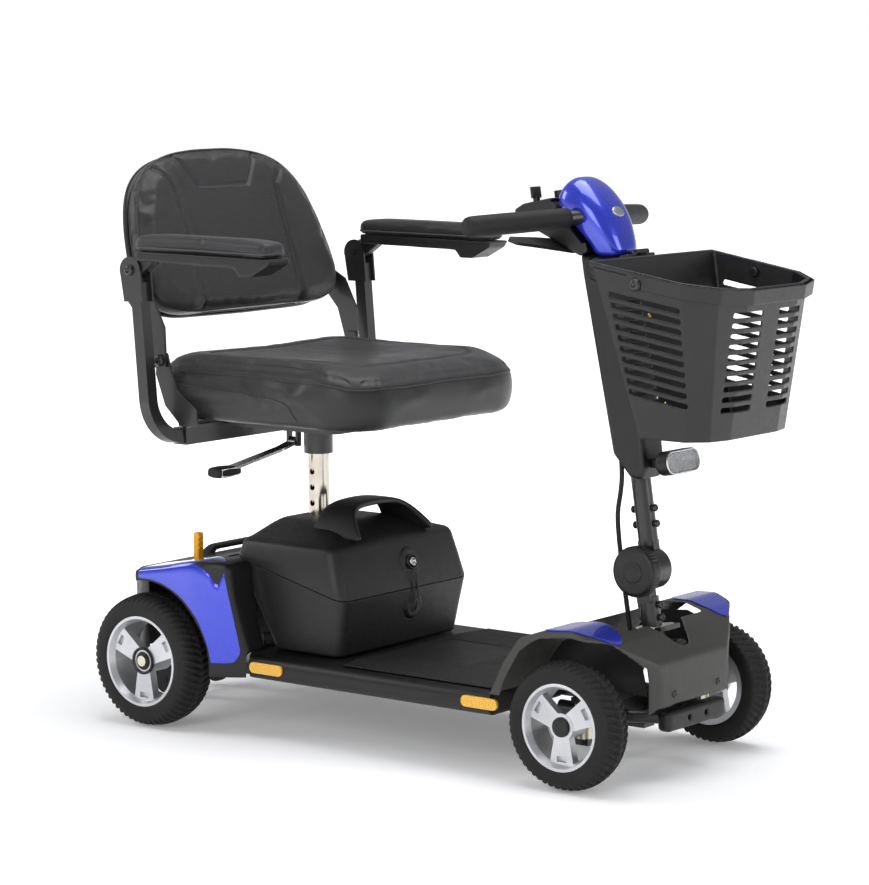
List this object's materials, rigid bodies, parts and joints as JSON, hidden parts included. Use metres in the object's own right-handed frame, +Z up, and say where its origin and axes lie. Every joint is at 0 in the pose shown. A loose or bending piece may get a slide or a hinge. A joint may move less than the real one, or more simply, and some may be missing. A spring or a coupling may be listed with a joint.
{
  "type": "four-wheel travel mobility scooter",
  "caption": "Four-wheel travel mobility scooter with a swivel seat, folding back, flip-up arms, tilting tiller, front basket and lift-out battery pack.",
  "frame": {"origin": "on the floor, under the middle of the whole scooter", "axes": "+X the way it travels, +Y the rider's left, +Z up"},
  "size_m": [1.0975, 0.566, 0.8679],
  "materials": {
    "tyre": "moulded rubber, matte",
    "rim_silver": "silver paint, satin",
    "frame_black": "black powder coat",
    "body_black": "fine moulded grain",
    "fairing_grey": "fine moulded grain, warm dark grey",
    "blue_gloss": "metallic blue, glossy",
    "mat_rubber": "ribbed and dimpled rubber",
    "vinyl": "black vinyl upholstery, soft sheen",
    "post_chrome": "plated steel",
    "steel_zinc": "zinc plated steel",
    "yellow_plastic": "yellow moulded plastic",
    "reflector": "amber prismatic plastic",
    "lens_clear": "clear polycarbonate",
    "foam_black": "closed-cell foam",
    "cell_grey": "plain battery case",
    "case_aluminium": "cast, unpolished",
    "lever_silver": "bright plated steel"
  },
  "bodies": {
    "chassis": {"main_frame": "frame_black", "deck_pan": "body_black", "deck_mat": "mat_rubber", "side_reflectors": "reflector", "rear_shroud": "body_black", "body_inlays": "blue_gloss", "front_fairing": "fairing_grey", "front_bumper": "body_black", "transaxle_case": "case_aluminium", "drive_motor": "frame_black"},
    "rear_wheel_left": {"rear_rim_left": "rim_silver", "rear_tyre_left": "tyre", "rear_axle_left": "steel_zinc"},
    "rear_wheel_right": {"rear_rim_right": "rim_silver", "rear_tyre_right": "tyre", "rear_axle_right": "steel_zinc"},
    "anti_tip_rollers": {"anti_tip_wheels": "foam_black"},
    "steering": {"steering_column": "steel_zinc", "cable_lower": "foam_black"},
    "knuckle_left": {"steering_knuckle_left": "steel_zinc"},
    "knuckle_right": {"steering_knuckle_right": "steel_zinc"},
    "front_wheel_left": {"front_rim_left": "rim_silver", "front_tyre_left": "tyre"},
    "front_wheel_right": {"front_rim_right": "rim_silver", "front_tyre_right": "tyre"},
    "track_rod": {"tie_rod": "steel_zinc"},
    "tiller": {"tiller_tube": "frame_black", "tiller_cover": "body_black", "head_cowl": "blue_gloss", "handlebar": "frame_black", "hand_grips": "foam_black", "console": "body_black", "headlight_housing": "body_black", "headlight_lens": "lens_clear", "cable_upper": "foam_black"},
    "knob": {"adjuster_knob": "body_black"},
    "throttle": {"throttle_lever": "body_black"},
    "ignition_key": {"key": "steel_zinc"},
    "dial": {"speed_dial": "body_black"},
    "basket_body": {"basket": "body_black"},
    "bail": {"bail_handle": "body_black"},
    "battery": {"battery_tub": "body_black", "battery_lid": "body_black", "battery_cells": "cell_grey", "charge_socket": "steel_zinc"},
    "post": {"seat_post": "post_chrome"},
    "seat": {"seat_frame": "frame_black", "seat_cushion": "vinyl"},
    "seat_lever": {"swivel_lever": "lever_silver"},
    "back": {"backrest": "vinyl", "back_frame": "frame_black"},
    "arm_left": {"arm_frame_left": "frame_black"},
    "arm_right": {"arm_frame_right": "frame_black"},
    "armrest_left": {"arm_tray_left": "body_black", "arm_pad_left": "vinyl"},
    "armrest_right": {"arm_tray_right": "body_black", "arm_pad_right": "vinyl"},
    "screw_left": {"arm_screw_left": "body_black"},
    "screw_right": {"arm_screw_right": "body_black"},
    "drive_lever": {"freewheel_lever": "yellow_plastic"}
  },
  "joints": [
    {"name": "rear_wheel_left_spin", "type": "hinge", "parent": "chassis", "child": "rear_wheel_left", "pos_m": [-0.4064, 0.216, 0.1], "axis": [0, 1, 0], "continuous": true},
    {"name": "knuckle_left_steer", "type": "hinge", "parent": "chassis", "child": "knuckle_left", "pos_m": [0.3316, 0.146, 0.09], "axis": [0, 0, 1], "range_deg": [-31, 31]},
    {"name": "front_wheel_left_spin", "type": "hinge", "parent": "knuckle_left", "child": "front_wheel_left", "pos_m": [0.3316, 0.184, 0.09], "axis": [0, 1, 0], "continuous": true},
    {"name": "arm_left_width", "type": "slide", "parent": "seat", "child": "arm_left", "axis": [0, 1, 0], "range_m": [0, 0.04]},
    {"name": "armrest_left_flip", "type": "hinge", "parent": "arm_left", "child": "armrest_left", "pos_m": [-0.3904, 0.258, 0.686], "axis": [0, -1, 0], "range_deg": [0, 95]},
    {"name": "arm_screw_left_turn", "type": "hinge", "parent": "seat", "child": "screw_left", "pos_m": [-0.3644, 0.186, 0.455], "axis": [0, 0, 1], "continuous": true},
    {"name": "rear_wheel_right_spin", "type": "hinge", "parent": "chassis", "child": "rear_wheel_right", "pos_m": [-0.4064, -0.216, 0.1], "axis": [0, 1, 0], "continuous": true},
    {"name": "knuckle_right_steer", "type": "hinge", "parent": "chassis", "child": "knuckle_right", "pos_m": [0.3316, -0.146, 0.09], "axis": [0, 0, 1], "range_deg": [-31, 31]},
    {"name": "front_wheel_right_spin", "type": "hinge", "parent": "knuckle_right", "child": "front_wheel_right", "pos_m": [0.3316, -0.184, 0.09], "axis": [0, 1, 0], "continuous": true},
    {"name": "arm_right_width", "type": "slide", "parent": "seat", "child": "arm_right", "axis": [0, -1, 0], "range_m": [0, 0.04]},
    {"name": "armrest_right_flip", "type": "hinge", "parent": "arm_right", "child": "armrest_right", "pos_m": [-0.3904, -0.258, 0.686], "axis": [0, -1, 0], "range_deg": [0, 95]},
    {"name": "arm_screw_right_turn", "type": "hinge", "parent": "seat", "child": "screw_right", "pos_m": [-0.3644, -0.186, 0.455], "axis": [0, 0, 1], "continuous": true},
    {"name": "anti_tip_spin", "type": "hinge", "parent": "chassis", "child": "anti_tip_rollers", "pos_m": [-0.5264, 0, 0.028], "axis": [0, 1, 0], "continuous": true},
    {"name": "steer", "type": "hinge", "parent": "chassis", "child": "steering", "pos_m": [0.3386, 0, 0.281], "axis": [-0.1495, 0, 0.9888], "range_deg": [-30, 30]},
    {"name": "track_rod_slide", "type": "slide", "parent": "chassis", "child": "track_rod", "axis": [0, 1, 0], "range_m": [-0.03, 0.03]},
    {"name": "tiller_tilt", "type": "hinge", "parent": "steering", "child": "tiller", "pos_m": [0.3386, 0, 0.281], "axis": [0, 1, 0], "range_deg": [-35, 10]},
    {"name": "knob_turn", "type": "hinge", "parent": "steering", "child": "knob", "pos_m": [0.3386, -0.031, 0.281], "axis": [0, 1, 0], "continuous": true},
    {"name": "throttle_swing", "type": "hinge", "parent": "tiller", "child": "throttle", "pos_m": [0.214, 0, 0.7315], "axis": [0.4099, 0, 0.9121], "range_deg": [-12, 12], "stiffness_Nm_per_rad": 0.4},
    {"name": "key_turn", "type": "hinge", "parent": "tiller", "child": "ignition_key", "pos_m": [0.15651, -0.014, 0.78949], "axis": [-0.1495, 0, 0.9888], "range_deg": [0, 90]},
    {"name": "speed_dial_turn", "type": "hinge", "parent": "tiller", "child": "dial", "pos_m": [0.1795, 0.012, 0.798], "axis": [-0.1495, 0, 0.9888], "range_deg": [0, 270]},
    {"name": "basket_lift", "type": "slide", "parent": "tiller", "child": "basket_body", "axis": [-0.1495, 0, 0.9888], "range_m": [0, 0.05]},
    {"name": "bail_swing", "type": "hinge", "parent": "basket_body", "child": "bail", "pos_m": [0.4196, 0, 0.691], "axis": [0, -1, 0], "range_deg": [0, 95]},
    {"name": "battery_lift", "type": "slide", "parent": "chassis", "child": "battery", "axis": [0, 0, 1], "range_m": [0, 0.09]},
    {"name": "seat_height", "type": "slide", "parent": "chassis", "child": "post", "axis": [0, 0, 1], "range_m": [0, 0.05]},
    {"name": "seat_swivel", "type": "hinge", "parent": "post", "child": "seat", "pos_m": [-0.2614, 0, 0.44], "axis": [0, 0, 1], "continuous": true},
    {"name": "swivel_lever_lift", "type": "hinge", "parent": "seat", "child": "seat_lever", "pos_m": [-0.3024, -0.009, 0.415], "axis": [-1, 0, 0], "range_deg": [0, 12], "stiffness_Nm_per_rad": 0.6},
    {"name": "backrest_fold", "type": "hinge", "parent": "seat", "child": "back", "pos_m": [-0.3764, 0, 0.551], "axis": [0, 1, 0], "range_deg": [0, 70]},
    {"name": "freewheel_lever_swing", "type": "hinge", "parent": "chassis", "child": "drive_lever", "pos_m": [-0.3724, -0.15, 0.215], "axis": [0, 1, 0], "range_deg": [0, 20]}
  ],
  "couplings": [
    {"joint": "knuckle_left_steer", "follows": "steer", "ratio": 1},
    {"joint": "knuckle_right_steer", "follows": "steer", "ratio": 1},
    {"joint": "track_rod_slide", "follows": "steer", "m_per_rad": -0.048}
  ]
}
